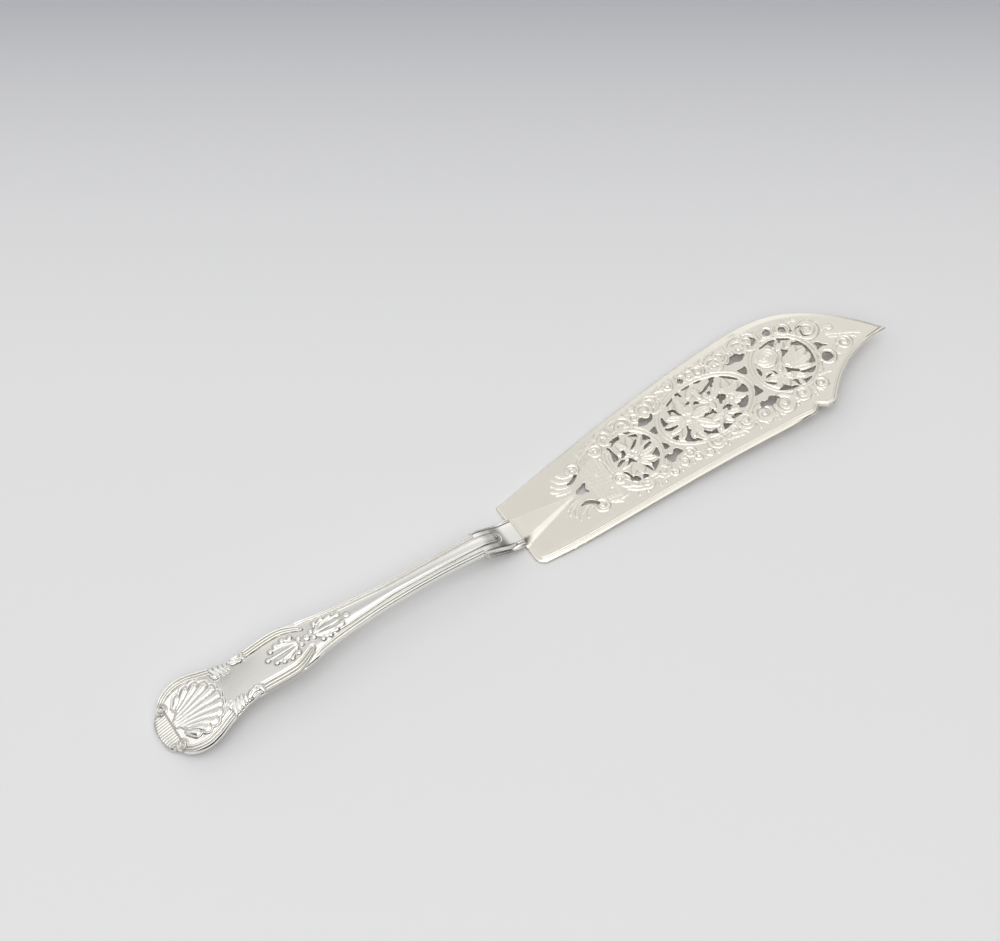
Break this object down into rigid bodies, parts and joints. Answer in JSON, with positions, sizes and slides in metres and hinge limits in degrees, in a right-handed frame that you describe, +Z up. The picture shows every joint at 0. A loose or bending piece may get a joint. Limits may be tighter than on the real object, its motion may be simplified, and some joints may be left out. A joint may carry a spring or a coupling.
{
  "type": "fish server",
  "caption": "Broad pierced silver blade with a pointed nose, hard-soldered to an arched handle that ends in a shell; it cuts, lifts and serves fish.",
  "frame": {"origin": "on the table, under the middle of the whole server's box", "axes": "+X from the handle's end to the blade's tip, +Y to the cutting side, +Z up from the table it rests on"},
  "size_m": [0.3098, 0.048, 0.013],
  "materials": {
    "blade_silver": "polished silver, pierced and chased",
    "handle_silver": "polished silver, die-struck relief"
  },
  "bodies": {
    "root": {"blade": "blade_silver", "handle": "handle_silver"}
  },
  "joints": []
}
